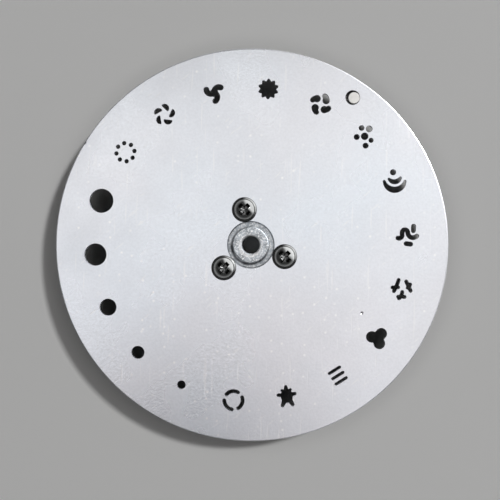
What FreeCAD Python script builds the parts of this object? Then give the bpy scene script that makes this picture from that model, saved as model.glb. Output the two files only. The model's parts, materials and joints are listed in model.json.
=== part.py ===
import FreeCAD, Part
import math
import os

from FreeCAD import Rotation, Vector

# Gobo wheel: a thin aluminium disc with a ring of cut-out light patterns, screwed to a turned hub.
# Millimetres. The wheel turns about Z. The hub's rear face lies on z = 0 and the disc faces +Z.
# Angles run anticlockwise from +X, as seen on the disc's face.

# Disc
disc_diameter = 110.0
disc_thickness = 1.0
disc_edge_chamfer = 0.1
hub_hole_chamfer = 0.15
pattern_inset = 11.1
first_pattern_angle = 3.6

# Tight arcs of the patterns are cut as short straight runs that stay this close to the arc
arc_error = 0.012
widest_cut_arc = 2.0

# Hub, from its rear face forwards
bore_diameter = 5.0
bore_chamfer = 0.4
collar_diameter = 14.0
collar_length = 7.0
collar_chamfer = 0.4
flange_diameter = 27.0
flange_thickness = 2.5
spigot_diameter = 13.0
spigot_recess = 0.3
spigot_clearance = 0.05
nose_diameter = 10.0
nose_height = 1.0
nose_chamfer = 0.25

# Screws that hold the disc on the hub: washer-faced pan head, cross recess
disc_screw_count = 3
disc_screw_circle = 20.0
disc_screw_angle = 100.5
disc_screw_thread = 3.0
disc_screw_length = 5.0
disc_screw_hole_clearance = 0.1
head_washer_diameter = 7.0
head_washer_thickness = 0.55
head_diameter = 5.4
head_crown_height = 1.45
head_crown_diameter = 3.5
recess_span = 3.3
recess_floor_span = 1.5
recess_slot_width = 0.8
recess_depth = 1.45
recess_angle = 46.0

# Set screws that clamp the motor shaft: hexagon socket, cup point
set_screw_count = 2
set_screw_spacing = 90.0
set_screw_angle = 40.5
set_screw_height = 3.5
set_screw_thread = 3.0
set_screw_length = 4.0
set_screw_end_chamfer = 0.3
set_screw_retract = 0.4
set_screw_socket = 1.5
set_screw_socket_depth = 1.6
set_screw_cup_diameter = 1.6
set_screw_cup_depth = 0.4
thread_clearance = 0.05

# Index magnet, glued into a hole of the disc beyond the patterns
magnet_inset = 5.0
magnet_angle = 55.3
magnet_diameter = 3.2
magnet_thickness = 1.0
magnet_edge_chamfer = 0.1
magnet_gap = 0.45
magnet_thinnest_glue = 0.08
magnet_offset_angle = -12
glue_recess = 0.12

# Patterns. Each is drawn about its own centre on the pitch circle and isn't turned with it.
# Winding slot: a hook, a straight leg, a hump and a sweep joined tangent to each other, and two short slots
winding_width = 1.34
winding_hook_radius = 0.82
winding_hook_turn = 115.0
winding_leg = 0.77
winding_hump_radius = 0.79
winding_hump_centre = (-0.84, 0.62)
winding_sweep_radius = 1.42
winding_sweep_turn = 138.0
winding_short_width = 1.37
winding_short_length = 1.25
winding_short_slots = (((1.53, 1.77), 87.0), ((0.10, -2.54), 172.6))

# Dot over two crescents, each with its middle, half span, lean, outer and inner depth, and tip radius
ripple_dot_place = (-0.55, 2.62)
ripple_dot_diameter = 1.74
ripple_crescents = (((-0.08, 0.92), 1.58, 6.5, 1.66, 0.24, 0.4), ((-0.12, 0.12), 2.88, 0.0, 3.27, 1.5, 0.4))

# Loose flower of dots, each with its place and diameter
flower_dots = (
    ((0.0, 0.0), 2.12),
    ((-0.86, 2.33), 1.62),
    ((1.25, 2.05), 1.9),
    ((1.77, -1.13), 1.45),
    ((0.25, -2.61), 1.68),
    ((-2.21, -0.19), 1.68),
)

# Ring of commas
comma_count = 4
comma_angle = 33.0
comma_body_radius = 1.83
comma_body_diameter = 2.1
comma_tail_centre = (1.2, 0.75)
comma_tail_radius = 1.1
comma_tail_from = -50.0
comma_tail_to = 25.0
comma_tail_width = 1.5

# Burst of pointed arches
burst_count = 10
burst_angle = 87.5
burst_tip_radius = 2.97
burst_root_radius = 2.23
burst_flank_bow = 0.1
burst_tip_round = 0.12

# Propeller of curved arms
propeller_count = 3
propeller_angle = 38.5
propeller_reach = 2.35
propeller_arm_radius = 1.34
propeller_arm_width = 1.68
propeller_core_diameter = 2.35

# Swirl of half-moons
swirl_count = 5
swirl_angle = 11.3
swirl_outer_tip = (2.53, 0.8)
swirl_inner_tip = (1.38, -0.72)
swirl_depth = 1.08
swirl_nose = 0.3

# Ring of dots
dot_ring_count = 8
dot_ring_angle = 7.6
dot_ring_radius = 2.57
dot_ring_diameter = 1.28

# Plain round apertures, largest first
aperture_diameters = (6.8, 6.3, 4.8, 3.7, 2.45)

# Broken ring
broken_ring_count = 3
broken_ring_angle = 100.0
broken_ring_radius = 2.57
broken_ring_span = 79.0
broken_ring_width = 1.12

# Five-limbed figure, drawn with its top point along +Y and then leaned
figure_lean = 6.0
figure_centre = (-0.30, 0.45)
figure_body_top = (0.35, 3.2)
figure_body_bottom = (-0.45, 3.34)
figure_top_point = ((1.5, 1.45), (2.5, 0.92))
figure_shoulder = (1.93, 37.0, 0.9)
figure_arm = (82.0, (0.8, 1.3), (2.34, 1.02))
figure_leg = (152.0, (1.4, 1.6), (3.03, 1.04))

# Parallel bars
bar_count = 3
bar_length = 4.25
bar_width = 0.92
bar_spacing = 1.75
bar_angle = 32.5

# Trefoil
trefoil_count = 3
trefoil_angle = 49.0
trefoil_reach = 1.6
trefoil_root_width = 2.95
trefoil_lobe_width = 3.24

# Three forked slots, each a junction and the ends that its prongs run to
fork_prong_width = 1.12
forks = (
    ((-1.65, 0.45), ((-0.90, 2.55), (-2.60, 0.48), (-2.20, -0.55), (-1.06, 0.52))),
    ((1.95, 0.55), ((1.20, 2.15), (2.28, 1.32), (2.42, -0.45), (1.62, 0.38))),
    ((-0.20, -2.05), ((0.12, -0.80), (-1.02, -2.12), (-0.80, -2.55), (0.72, -2.15))),
)

# Heights above the hub's rear face
disc_bottom = collar_length + flange_thickness
disc_top = disc_bottom + disc_thickness
spigot_top = disc_top - spigot_recess
nose_top = disc_top + nose_height

# Sizes that several pieces share
axis = Vector(0, 0, 1)
pitch_radius = disc_diameter / 2 - pattern_inset
magnet_circle_radius = disc_diameter / 2 - magnet_inset
magnet_hole_diameter = magnet_diameter + 2 * magnet_gap
magnet_offset = magnet_gap - magnet_thinnest_glue
disc_screw_angles = [disc_screw_angle + 360.0 / disc_screw_count * i for i in range(disc_screw_count)]
set_screw_angles = [set_screw_angle + set_screw_spacing * i for i in range(set_screw_count)]


def at(radius, angle):
    """Point on the drawing plane at a radius and an angle in degrees."""
    turn = math.radians(angle)
    return Vector(radius * math.cos(turn), radius * math.sin(turn), 0)


def face(edges):
    """Flat face inside a closed run of edges."""
    return Part.Face(Part.Wire(edges))


def line(start, end):
    return Part.LineSegment(start, end).toShape()


def arc(start, middle, end):
    return Part.Arc(start, middle, end).toShape()


def dot(centre, diameter):
    """Round face."""
    return face([Part.Circle(centre, axis, diameter / 2).toShape()])


def taper_slot(start, start_width, end, end_width):
    """Slot with round ends that runs straight from one width to another."""
    first, last = start_width / 2, end_width / 2
    along = end - start
    heading = math.degrees(math.atan2(along.y, along.x))
    lean = math.degrees(math.acos((first - last) / along.Length))
    left, right = heading + lean, heading - lean
    return face([
        line(start + at(first, left), end + at(last, left)),
        arc(end + at(last, left), end + at(last, heading), end + at(last, right)),
        line(end + at(last, right), start + at(first, right)),
        arc(start + at(first, right), start - at(first, heading), start + at(first, left)),
    ])


def slot(start, end, width):
    """Straight slot of one width with round ends."""
    return taper_slot(start, width, end, width)


def arc_slot(centre, radius, from_angle, to_angle, width):
    """Slot of one width with round ends along an arc, anticlockwise from one angle to the other."""
    half = width / 2
    middle = (from_angle + to_angle) / 2
    start = centre + at(radius, from_angle)
    end = centre + at(radius, to_angle)
    outer = [centre + at(radius + half, angle) for angle in (from_angle, middle, to_angle)]
    inner = [centre + at(radius - half, angle) for angle in (to_angle, middle, from_angle)]
    return face([
        arc(*outer),
        arc(outer[2], end + at(half, to_angle + 90), inner[0]),
        arc(*inner),
        arc(inner[2], start + at(half, from_angle - 90), outer[0]),
    ])


def bowed_edge(start, end, depth):
    """Edge from start to end that bows out to the right of its chord by a depth."""
    along = (end - start).normalize()
    aside = Vector(along.y, -along.x, 0)
    if abs(depth) < 0.01:
        return line(start, end)
    return arc(start, (start + end) / 2 + aside * depth, end)


def crescent(start, end, outer_depth, inner_depth, nose):
    """Crescent between two round noses; both edges bow to the right of the line from start to end."""
    core = face([
        bowed_edge(start, end, outer_depth - nose),
        bowed_edge(end, start, -inner_depth - nose),
    ])
    return core.makeOffset2D(nose)


def turned(shapes, angle):
    """Copies of drawn faces, turned about the drawing's centre."""
    copies = [shape.copy() for shape in shapes]
    for shape in copies:
        shape.rotate(Vector(), axis, angle)
    return copies


def shifted(shapes, offset):
    """Copies of drawn faces, moved on the drawing."""
    copies = [shape.copy() for shape in shapes]
    for shape in copies:
        shape.translate(offset)
    return copies


def ring_of(shapes, count, first_angle):
    """The same faces repeated evenly around the drawing's centre."""
    return [shape for i in range(count) for shape in turned(shapes, first_angle + 360.0 / count * i)]


def winding_pattern():
    hump = Vector(*winding_hump_centre)
    leg_top = hump - Vector(winding_hump_radius, 0)
    leg_foot = leg_top - Vector(0, winding_leg)
    hook = leg_foot - Vector(winding_hook_radius, 0)
    sweep = hump + Vector(winding_hump_radius + winding_sweep_radius, 0)
    shapes = [
        arc_slot(hook, winding_hook_radius, -winding_hook_turn, 0, winding_width),
        slot(leg_top, leg_foot, winding_width),
        arc_slot(hump, winding_hump_radius, 0, 180, winding_width),
        arc_slot(sweep, winding_sweep_radius, 180, 180 + winding_sweep_turn, winding_width),
    ]
    for place, angle in winding_short_slots:
        half_run = at(winding_short_length / 2, angle)
        shapes.append(slot(Vector(*place) - half_run, Vector(*place) + half_run, winding_short_width))
    return shapes


def ripple_pattern():
    shapes = [dot(Vector(*ripple_dot_place), ripple_dot_diameter)]
    for middle, half_span, lean, outer_depth, inner_depth, nose in ripple_crescents:
        middle, aside = Vector(*middle), at(half_span, lean)
        shapes.append(crescent(middle - aside, middle + aside, outer_depth, inner_depth, nose))
    return shapes


def flower_pattern():
    return [dot(Vector(*place), diameter) for place, diameter in flower_dots]


def comma_pattern():
    body = dot(at(comma_body_radius, 0), comma_body_diameter)
    tail_centre = Vector(*comma_tail_centre)
    tail = arc_slot(tail_centre, comma_tail_radius, comma_tail_from, comma_tail_to, comma_tail_width)
    return ring_of([body, tail], comma_count, comma_angle)


def burst_pattern():
    step = 360.0 / burst_count
    edges = []
    for i in range(burst_count):
        middle = burst_angle + step * i
        root, next_root = at(burst_root_radius, middle - step / 2), at(burst_root_radius, middle + step / 2)
        tip = at(burst_tip_radius, middle)
        edges += [bowed_edge(root, tip, burst_flank_bow), bowed_edge(tip, next_root, burst_flank_bow)]
    return [face(edges).makeOffset2D(-burst_tip_round).makeOffset2D(burst_tip_round)]


def propeller_pattern():
    half_turn = math.degrees(math.asin(propeller_reach / 2 / propeller_arm_radius))
    centre = at(propeller_arm_radius, half_turn - 90)
    arm = arc_slot(centre, propeller_arm_radius, 90 - half_turn, 90 + half_turn, propeller_arm_width)
    return [dot(Vector(), propeller_core_diameter), *ring_of([arm], propeller_count, propeller_angle)]


def swirl_pattern():
    moon = crescent(Vector(*swirl_inner_tip), Vector(*swirl_outer_tip), swirl_depth, -swirl_nose, swirl_nose)
    return ring_of([moon], swirl_count, swirl_angle)


def dot_ring_pattern():
    return ring_of([dot(at(dot_ring_radius, 0), dot_ring_diameter)], dot_ring_count, dot_ring_angle)


def broken_ring_pattern():
    half = broken_ring_span / 2
    piece = arc_slot(Vector(), broken_ring_radius, -half, half, broken_ring_width)
    return ring_of([piece], broken_ring_count, broken_ring_angle)


def figure_pattern():
    body_top, body_bottom = Vector(0, figure_body_top[0]), Vector(0, figure_body_bottom[0])
    shapes = [taper_slot(body_top, figure_body_top[1], body_bottom, figure_body_bottom[1])]
    (neck, neck_width), (crown, crown_width) = figure_top_point
    shapes.append(taper_slot(Vector(0, neck), neck_width, Vector(0, crown), crown_width))
    shoulder_radius, shoulder_angle, shoulder_diameter = figure_shoulder
    for side in (-1, 1):
        shapes.append(dot(at(shoulder_radius, 90 + side * shoulder_angle), shoulder_diameter))
        for angle, (root, root_width), (tip, tip_width) in (figure_arm, figure_leg):
            heading = 90 + side * angle
            shapes.append(taper_slot(at(root, heading), root_width, at(tip, heading), tip_width))
    return shifted(turned(shapes, figure_lean), Vector(*figure_centre))


def bar_pattern():
    run = at(bar_length / 2 - bar_width / 2, bar_angle)
    steps = [at(bar_spacing * (i - (bar_count - 1) / 2), bar_angle + 90) for i in range(bar_count)]
    return [slot(step - run, step + run, bar_width) for step in steps]


def trefoil_pattern():
    lobe = taper_slot(Vector(), trefoil_root_width, at(trefoil_reach, 0), trefoil_lobe_width)
    return ring_of([lobe], trefoil_count, trefoil_angle)


def fork_pattern():
    return [
        slot(Vector(*junction), Vector(*end), fork_prong_width)
        for junction, ends in forks
        for end in ends
    ]


def patterns():
    """The drawn faces of every position of the wheel, in order around the pitch circle."""
    return [
        winding_pattern(),
        ripple_pattern(),
        flower_pattern(),
        comma_pattern(),
        burst_pattern(),
        propeller_pattern(),
        swirl_pattern(),
        dot_ring_pattern(),
        *[[dot(Vector(), diameter)] for diameter in aperture_diameters],
        broken_ring_pattern(),
        figure_pattern(),
        bar_pattern(),
        trefoil_pattern(),
        fork_pattern(),
    ]


def merged(shapes):
    """The faces that are left where drawn faces overlap or touch and become one."""
    prisms = [shape.extrude(axis) for shape in shapes]
    whole = prisms[0].fuse(prisms[1:]).removeSplitter() if len(prisms) > 1 else prisms[0]
    return [side for side in whole.Faces if side.BoundBox.ZMax < 0.5]


def straight_runs(edge):
    """A tight arc as short straight runs, and any other edge as it is."""
    radius = getattr(edge.Curve, "Radius", widest_cut_arc)
    if radius >= widest_cut_arc:
        return [edge]
    step = 2 * math.acos(1 - arc_error / radius)
    points = edge.discretize(math.ceil(edge.Length / radius / step) + 1)
    return [line(a, b) for a, b in zip(points, points[1:])]


def cut_outline(drawn):
    """The face that is cut for a drawn face."""
    runs = [[run for edge in wire.OrderedEdges for run in straight_runs(edge)] for wire in drawn.Wires]
    return Part.Face([Part.Wire(Part.sortEdges(edges)[0]) for edges in runs])


def pattern_cutters():
    """Prisms of every pattern, placed on the pitch circle and running right through the disc."""
    drawings = patterns()
    cutters = []
    for i, shapes in enumerate(drawings):
        angle = first_pattern_angle + 360.0 / len(drawings) * i
        place = at(pitch_radius, angle) + axis * (disc_bottom - disc_thickness)
        for drawn in merged(shapes):
            cutter = cut_outline(drawn).extrude(axis * disc_thickness * 3)
            cutter.translate(place)
            cutters.append(cutter)
    return cutters


def cylinder(diameter, bottom, top, centre=Vector()):
    return Part.makeCylinder(diameter / 2, top - bottom, centre + axis * bottom)


def revolved(profile):
    """Solid turned about Z from a closed profile of radius and height points."""
    corners = [Vector(radius, 0, height) for radius, height in profile]
    return Part.Face(Part.makePolygon(corners + corners[:1])).revolve(Vector(), axis, 360)


def magnet_hole_centre():
    return at(magnet_circle_radius, magnet_angle)


def magnet_centre():
    """The magnet leans against one side of its hole."""
    return magnet_hole_centre() + at(magnet_offset, magnet_offset_angle)


def gobo_disc():
    edge, chamfer = disc_diameter / 2, disc_edge_chamfer
    inner = spigot_diameter / 2 + spigot_clearance
    blank = revolved([
        (inner, disc_bottom),
        (edge, disc_bottom),
        (edge, disc_top - chamfer),
        (edge - chamfer, disc_top),
        (inner + hub_hole_chamfer, disc_top),
        (inner, disc_top - hub_hole_chamfer),
    ])
    below, above = disc_bottom - disc_thickness, disc_top + disc_thickness
    hole = disc_screw_thread + 2 * disc_screw_hole_clearance
    holes = [cylinder(hole, below, above, at(disc_screw_circle / 2, angle)) for angle in disc_screw_angles]
    holes.append(cylinder(magnet_hole_diameter, below, above, magnet_hole_centre()))
    return blank.cut(holes + pattern_cutters())


def hub():
    bore, collar, flange = bore_diameter / 2, collar_diameter / 2, flange_diameter / 2
    spigot, nose = spigot_diameter / 2, nose_diameter / 2
    body = revolved([
        (bore + bore_chamfer, 0),
        (collar - collar_chamfer, 0),
        (collar, collar_chamfer),
        (collar, collar_length),
        (flange, collar_length),
        (flange, disc_bottom),
        (spigot, disc_bottom),
        (spigot, spigot_top),
        (nose, spigot_top),
        (nose, nose_top - nose_chamfer),
        (nose - nose_chamfer, nose_top),
        (bore + bore_chamfer, nose_top),
        (bore, nose_top - bore_chamfer),
        (bore, bore_chamfer),
    ])
    tapped = disc_screw_thread + 2 * thread_clearance
    holes = [
        cylinder(tapped, collar_length - flange_thickness, disc_top, at(disc_screw_circle / 2, angle))
        for angle in disc_screw_angles
    ]
    for angle in set_screw_angles:
        start = axis * set_screw_height
        holes.append(Part.makeCylinder(set_screw_thread / 2 + thread_clearance, collar_diameter, start, at(1, angle)))
    return body.cut(holes)


def cross_recess():
    """Cutter for the cross recess, point down, with its mouth on z = 0."""
    half, floor = recess_span / 2, recess_floor_span / 2
    rise = head_crown_height
    outline = [(-half, rise), (half, rise), (half, 0), (floor, -recess_depth), (-floor, -recess_depth), (-half, 0)]
    corners = [Vector(along, -recess_slot_width / 2, height) for along, height in outline]
    blade = Part.Face(Part.makePolygon(corners + corners[:1])).extrude(Vector(0, recess_slot_width, 0))
    other = blade.copy()
    other.rotate(Vector(), axis, 90)
    cutter = blade.fuse(other)
    cutter.rotate(Vector(), axis, recess_angle)
    return cutter


def disc_screw(angle):
    """Pan head with a fixed washer face, on the disc, and its shank through the disc into the hub."""
    shank, washer = disc_screw_thread / 2, head_washer_diameter / 2
    head, crown = head_diameter / 2, head_crown_diameter / 2
    top = head_washer_thickness + head_crown_height
    body = revolved([
        (0, -disc_screw_length),
        (shank, -disc_screw_length),
        (shank, 0),
        (washer, 0),
        (washer, head_washer_thickness),
        (head, head_washer_thickness),
        (crown, top),
        (0, top),
    ])
    recess = cross_recess()
    recess.translate(axis * top)
    screw = body.cut(recess)
    screw.translate(at(disc_screw_circle / 2, angle) + axis * disc_top)
    return screw


def set_screw(angle):
    """Grub screw, backed off so that its cup point is clear of the shaft's bore."""
    thread, chamfer, length = set_screw_thread / 2, set_screw_end_chamfer, set_screw_length
    body = revolved([
        (0, set_screw_cup_depth),
        (set_screw_cup_diameter / 2, 0),
        (thread, set_screw_cup_depth),
        (thread, length - chamfer),
        (thread - chamfer, length),
        (0, length),
    ])
    corner_radius = set_screw_socket / math.sqrt(3)
    corners = [at(corner_radius, 60 * i) + axis * (length - set_screw_socket_depth) for i in range(7)]
    socket = Part.Face(Part.makePolygon(corners)).extrude(axis * length)
    screw = body.cut(socket)
    screw.Placement.Rotation = Rotation(axis, at(1, angle))
    screw.translate(at(bore_diameter / 2 + set_screw_retract, angle) + axis * set_screw_height)
    return screw


def index_magnet():
    radius, chamfer = magnet_diameter / 2, magnet_edge_chamfer
    bottom = disc_top - magnet_thickness
    body = revolved([
        (0, bottom),
        (radius, bottom),
        (radius, disc_top - chamfer),
        (radius - chamfer, disc_top),
        (0, disc_top),
    ])
    body.translate(magnet_centre())
    return body


def magnet_adhesive():
    """Glue that fills the hole around the magnet, a little below the disc's two faces."""
    bottom, top = disc_bottom + glue_recess, disc_top - glue_recess
    fill = cylinder(magnet_hole_diameter, bottom, top, magnet_hole_centre())
    return fill.cut(cylinder(magnet_diameter, bottom - 1, top + 1, magnet_centre()))


pieces = {
    "gobo_disc": gobo_disc(),
    "hub": hub(),
    "index_magnet": index_magnet(),
    "magnet_adhesive": magnet_adhesive(),
}
for number, angle in enumerate(disc_screw_angles, 1):
    pieces[f"disc_screw_{number}"] = disc_screw(angle)
for number, angle in enumerate(set_screw_angles, 1):
    pieces[f"set_screw_{number}"] = set_screw(angle)

os.makedirs("parts", exist_ok=True)
for name, shape in pieces.items():
    shape.exportStep(f"parts/{name}.step")
    print(name, "solids", len(shape.Solids), "volume", round(shape.Volume, 2), "valid", shape.isValid())
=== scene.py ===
"""Gobo wheel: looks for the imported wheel, written as a Blender add-on that is run as a script."""

import json
import math

import bpy
import numpy as np
from mathutils import Matrix, Vector


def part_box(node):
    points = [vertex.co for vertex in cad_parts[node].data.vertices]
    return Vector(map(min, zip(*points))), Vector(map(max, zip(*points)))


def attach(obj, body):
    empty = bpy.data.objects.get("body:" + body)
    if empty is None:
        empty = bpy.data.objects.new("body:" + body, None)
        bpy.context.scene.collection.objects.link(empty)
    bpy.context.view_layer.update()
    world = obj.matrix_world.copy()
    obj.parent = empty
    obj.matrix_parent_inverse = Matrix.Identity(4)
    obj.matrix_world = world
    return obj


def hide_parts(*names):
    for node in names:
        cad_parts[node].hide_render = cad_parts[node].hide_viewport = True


bl_info = {
    "name": "Gobo wheel",
    "version": (1, 0, 0),
    "blender": (4, 5, 0),
    "location": "View3D > Sidebar > Gobo Wheel",
    "description": "Dresses a gobo wheel's disc, hub, screws, index magnet and adhesive",
    "category": "Object",
}

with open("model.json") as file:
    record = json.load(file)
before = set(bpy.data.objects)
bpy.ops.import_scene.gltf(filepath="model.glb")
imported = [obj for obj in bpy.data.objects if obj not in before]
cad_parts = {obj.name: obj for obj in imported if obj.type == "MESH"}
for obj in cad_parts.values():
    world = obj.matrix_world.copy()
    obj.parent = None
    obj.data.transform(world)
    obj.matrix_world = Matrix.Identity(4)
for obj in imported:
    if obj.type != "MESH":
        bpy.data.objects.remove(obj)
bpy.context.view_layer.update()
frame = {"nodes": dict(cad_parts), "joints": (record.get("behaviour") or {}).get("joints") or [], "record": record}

MM = 0.001
DISC_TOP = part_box("gobo_disc")[1].z
DISC_RADIUS = max(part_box("gobo_disc")[1][:2])
DISC_SCREWS = ("disc_screw_1", "disc_screw_2", "disc_screw_3")
SET_SCREWS = ("set_screw_1", "set_screw_2")

SHARP_EDGE = math.radians(38)
UP = Vector((0, 0, 1))

# Colours that the finishes and the stage mix in

WHITE = (1.0, 1.0, 1.0, 1.0)
COLD_TINT = (0.985, 1.0, 1.02, 1.0)
WARM_TINT = (1.015, 0.99, 0.995, 1.0)
SCUFFED = (0.95, 0.95, 0.95, 1.0)
BRUISED = (0.16, 0.16, 0.17, 1.0)
# Painted shade of the hub's corners
PAINTED_SHADE = (0.03, 0.03, 0.035, 1.0)
DARK_SIDE_TINT = (1.0, 0.92, 0.94, 1.0)
FLOOR_BOUNCE = (0.05, 0.05, 0.05, 1.0)

# Marks of the sheet, and the painted highlight and painted shade of the hub, each a middle and a radius or a width

EDGE_PIT = ((0.03103, -0.01913, DISC_TOP), 0.6 * MM)
EDGE_NICK = ((-0.04700, 0.02890, DISC_TOP), 0.8 * MM)
HANDLED_AREA = ((-0.018, -0.030, DISC_TOP), 70 * MM)
ROLLED_EDGE_WIDTH = 0.3 * MM
NOSE_SHADOW_MIDDLE = (-0.00033, -0.00040, 0)
BORE_HIGHLIGHT_MIDDLE = (-0.0002, -0.0003, 0)
BORE_HIGHLIGHT_RADIUS = 2.9 * MM
BORE_HIGHLIGHT_WIDTH = 0.7 * MM
SHADED_JOINT_SIDE = (0.6, 0.8, 0.0)
SHADED_JOINT_FADE = (-4 * MM, 5 * MM)
PAINTED_SHADE_HEIGHT = 0.7 * MM

# Stage: floor, background, where the studio's shapes fade, by direction or height, and what is left there

FLOOR_HALF = 3.0
BACKGROUND = 0.9
DARK_SIDE_FADE = (0.10, 0.30)
DARK_SIDE_LEFT = 0.05
TINT_FADE = (0.08, 0.42)
CEILING_FADE = (0.36, 0.60)
OVERHEAD_FADE = (0.04, 0.24)
OVERHEAD_LEFT = 0.8
WINDOW_SIDE_FADE = (0.40, 0.70)
WINDOW_LOW_FADE = (0.0, 0.12)
WALL_HIGH_FADE = (0.20, 0.46)
WALL_LOW_FADE = (-0.05, 0.05)
WALL_LEFT = 0.07
FILL_LOW_FADE = (0.73, 0.80)
FILL_HIGH_FADE = (0.84, 0.94)


def box_middle(node):
    """Middle of a CAD node's box."""
    low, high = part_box(node)
    return (low + high) / 2


def body_of(node):
    """Name of the body that a CAD node belongs to."""
    for body, nodes in frame["record"]["behaviour"]["bodies"].items():
        if node in nodes:
            return body
    raise RuntimeError(f"no body holds {node}")


# Meshes

def closed_mesh(name, grid, poles=None, recess=None):
    """Closed mesh of a grid of points. Column j joins column j + 1, and the last joins the first.

    Rows close in the same way, unless a point at each end closes them with a fan.
    Rows run up the outside as columns run anticlockwise, which makes the faces point outwards.
    A recess value for each row, and one for each end, is kept as an attribute with which the material paints
    shade.
    """
    rows, columns = grid.shape[:2]
    row = np.arange(rows if poles is None else rows - 1)[:, None]
    column = np.arange(columns)[None, :]
    after, beside = (row + 1) % rows, (column + 1) % columns
    corners = (
        row * columns + column,
        row * columns + beside,
        after * columns + beside,
        after * columns + column,
    )
    faces = np.stack(np.broadcast_arrays(*corners), -1).reshape(-1, 4).tolist()
    points = grid.reshape(-1, 3)
    if poles is not None:
        points = np.vstack([points, poles])
        first = np.arange(columns)
        following = (first + 1) % columns
        pole = np.full(columns, rows * columns)
        last_row = (rows - 1) * columns
        faces += np.stack([pole, following, first], -1).tolist()
        faces += np.stack([pole + 1, last_row + first, last_row + following], -1).tolist()
    mesh = bpy.data.meshes.new(name)
    mesh.from_pydata(points.tolist(), [], faces)
    mesh.validate()
    if recess is not None:
        values = np.concatenate([np.repeat(recess[:rows], columns), recess[rows:]])
        mesh.attributes.new("recess", "FLOAT", "POINT").data.foreach_set("value", values.astype(np.float32))
    mesh.shade_smooth()
    mesh.set_sharp_from_angle(angle=SHARP_EDGE)
    return mesh


def all_turns(columns):
    """Angles of a full turn in equal steps, one for each column."""
    return np.arange(columns) / columns * 2 * math.pi


def polar_grid(radii, heights, turns):
    """Points (r cos t, r sin t, h) of radii and heights over rows and the angles t over columns."""
    radii, heights, turns = np.broadcast_arrays(radii, heights, turns)
    return np.stack([radii * np.cos(turns), radii * np.sin(turns), heights], -1)


def turned_rows(profile, steps):
    """Radii and heights along a profile of (radius, height) corners, each run cut in its number of steps."""
    corners = np.array(profile, float)
    parts = [
        corners[i] + (corners[i + 1] - corners[i]) * np.linspace(0, 1, count, endpoint=False)[:, None]
        for i, count in enumerate(steps)
    ]
    return np.vstack([*parts, corners[-1:]])


def round_corner(centre, radius, from_angle, to_angle, steps):
    """Points centre + radius (cos a, sin a) of a rounded edge in the radius and height plane."""
    angles = np.radians(np.linspace(from_angle, to_angle, steps))
    return np.stack([centre[0] + radius * np.cos(angles), centre[1] + radius * np.sin(angles)], -1)


def thread_radii(heights, turns, major, depth, pitch, start, end):
    """Radius of a thread: major - depth * v, where v is a clipped triangle wave of height / pitch - turn.

    The wave has flat crests and roots, and fades out within a pitch of each end.
    """
    wave = np.abs(2 * ((heights / pitch - turns / (2 * math.pi)) % 1) - 1)
    valley = np.clip(1.3 * wave - 0.15, 0, 1)
    fade = np.clip((heights - start) / pitch, 0, 1) * np.clip((end - heights) / pitch, 0, 1)
    return major - depth * valley * fade


def add_piece(name, mesh, material, node):
    """Puts a finished mesh in the scene in place of a CAD node."""
    piece = bpy.data.objects.new(name, mesh)
    bpy.context.scene.collection.objects.link(piece)
    mesh.materials.append(material)
    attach(piece, body_of(node))
    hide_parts(node)


def dress_node(node, material):
    """Gives a CAD node a material."""
    obj = frame["nodes"][node]
    obj.data.materials.clear()
    obj.data.materials.append(material)


# Shader nodes

def add_node(tree, kind, sockets=None, **settings):
    """New node with its settings, its inputs linked or set, by name or number."""
    node = tree.nodes.new(kind)
    for key, value in settings.items():
        setattr(node, key, value)
    for key, value in (sockets or {}).items():
        if isinstance(value, bpy.types.NodeSocket):
            tree.links.new(value, node.inputs[key])
        else:
            node.inputs[key].default_value = value
    return node


def maths(tree, operation, *values):
    """Result of a Math node."""
    return add_node(tree, "ShaderNodeMath", dict(enumerate(values)), operation=operation).outputs[0]


def product(tree, first, *others):
    """Product of two or more values."""
    for value in others:
        first = maths(tree, "MULTIPLY", first, value)
    return first


def vector_maths(tree, operation, *values, output="Vector"):
    """Result of a Vector Math node, its Vector or its Value."""
    node = add_node(tree, "ShaderNodeVectorMath", dict(enumerate(values)), operation=operation)
    return node.outputs[output]


def remap(tree, value, from_low, from_high, to_low, to_high, smooth=False):
    """Result of a Map Range node."""
    settings = {"interpolation_type": "SMOOTHSTEP" if smooth else "LINEAR"}
    sockets = {0: value, 1: from_low, 2: from_high, 3: to_low, 4: to_high}
    return add_node(tree, "ShaderNodeMapRange", sockets, **settings).outputs[0]


def spread(tree, value, to_low, to_high):
    """A noise's usual range, 0.3 to 0.7, spread from one value to another."""
    return remap(tree, value, 0.3, 0.7, to_low, to_high)


def mix_value(tree, factor, first, second):
    """Result of a number Mix node."""
    return add_node(tree, "ShaderNodeMix", {0: factor, 2: first, 3: second}, data_type="FLOAT").outputs[0]


def mix_colour(tree, factor, first, second, blend="MIX"):
    """Result of a colour Mix node."""
    sockets = {0: factor, 6: first, 7: second}
    return add_node(tree, "ShaderNodeMix", sockets, data_type="RGBA", blend_type=blend).outputs[2]


def noise(tree, place, scale, detail=2.0, roughness=0.5):
    """Value of a Noise Texture node over points."""
    sockets = {"Vector": place, "Scale": scale, "Detail": detail, "Roughness": roughness}
    return add_node(tree, "ShaderNodeTexNoise", sockets).outputs[0]


def line_noise(tree, place, scale, roughness):
    """Value of a Noise Texture node over a single number."""
    sockets = {"Scale": scale, "Detail": 2.0, "Roughness": roughness}
    node = add_node(tree, "ShaderNodeTexNoise", sockets, noise_dimensions="1D")
    tree.links.new(place, node.inputs["W"])
    return node.outputs[0]


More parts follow.
